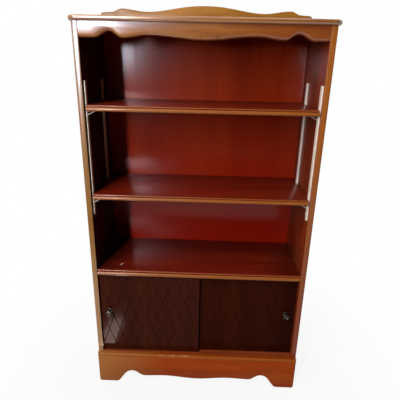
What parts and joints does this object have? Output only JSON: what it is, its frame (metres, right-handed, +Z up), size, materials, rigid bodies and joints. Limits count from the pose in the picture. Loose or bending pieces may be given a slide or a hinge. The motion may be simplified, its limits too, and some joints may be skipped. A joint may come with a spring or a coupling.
{
  "type": "bookcase with cabinet doors",
  "caption": "Open bookcase with loose shelves on slotted standards over a low cabinet with bypass sliding doors, scalloped apron, crest and base.",
  "frame": {"origin": "on the floor, at the middle of the whole outline in width and depth", "axes": "+X to the right seen from the doors, +Y from the doors to the back panel, +Z up"},
  "size_m": [0.826, 0.314, 1.4425],
  "materials": {
    "mahogany": "satin lacquer over red-brown stain",
    "shelf_mahogany": "gloss lacquer over red-brown stain",
    "door_mahogany": "gloss lacquer over dark stain, scored lattice",
    "back_ply": "gloss lacquer over red stain",
    "raw_wood": "bare",
    "zinc_steel": "dull zinc plate",
    "fastener_steel": "dull",
    "knob_metal": "aged, polished rim"
  },
  "bodies": {
    "case": {"side_left": "mahogany", "side_right": "mahogany", "top_board": "mahogany", "crest_rail": "mahogany", "apron": "mahogany", "apron_blocks": "raw_wood", "back_panel": "back_ply", "back_nails": "fastener_steel", "cabinet_top": "shelf_mahogany", "cabinet_floor": "mahogany", "base_front": "mahogany", "base_corner_blocks": "raw_wood", "base_rail_blocks": "raw_wood", "strip_front_left": "zinc_steel", "strip_rear_left": "zinc_steel", "strip_front_right": "zinc_steel", "strip_rear_right": "zinc_steel", "strip_nails": "fastener_steel", "clips_upper": "zinc_steel", "clips_lower": "zinc_steel", "crest_dowels": "raw_wood", "top_dowels": "raw_wood"},
    "left_door": {"door_left": "door_mahogany", "knob_left": "knob_metal", "knob_screw_left": "fastener_steel"},
    "right_door": {"door_right": "door_mahogany", "knob_right": "knob_metal", "knob_screw_right": "fastener_steel"},
    "upper_shelf": {"shelf_upper": "shelf_mahogany"},
    "lower_shelf": {"shelf_lower": "shelf_mahogany"}
  },
  "joints": [
    {"name": "left_door_slide", "type": "slide", "parent": "case", "child": "left_door", "axis": [1, 0, 0], "range_m": [0, 0.16]},
    {"name": "right_door_slide", "type": "slide", "parent": "case", "child": "right_door", "axis": [-1, 0, 0], "range_m": [0, 0.16]},
    {"name": "upper_shelf_lift", "type": "slide", "parent": "case", "child": "upper_shelf", "axis": [0, 0, 1], "range_m": [0, 0.18]},
    {"name": "lower_shelf_lift", "type": "slide", "parent": "case", "child": "lower_shelf", "axis": [0, 0, 1], "range_m": [0, 0.26]}
  ]
}
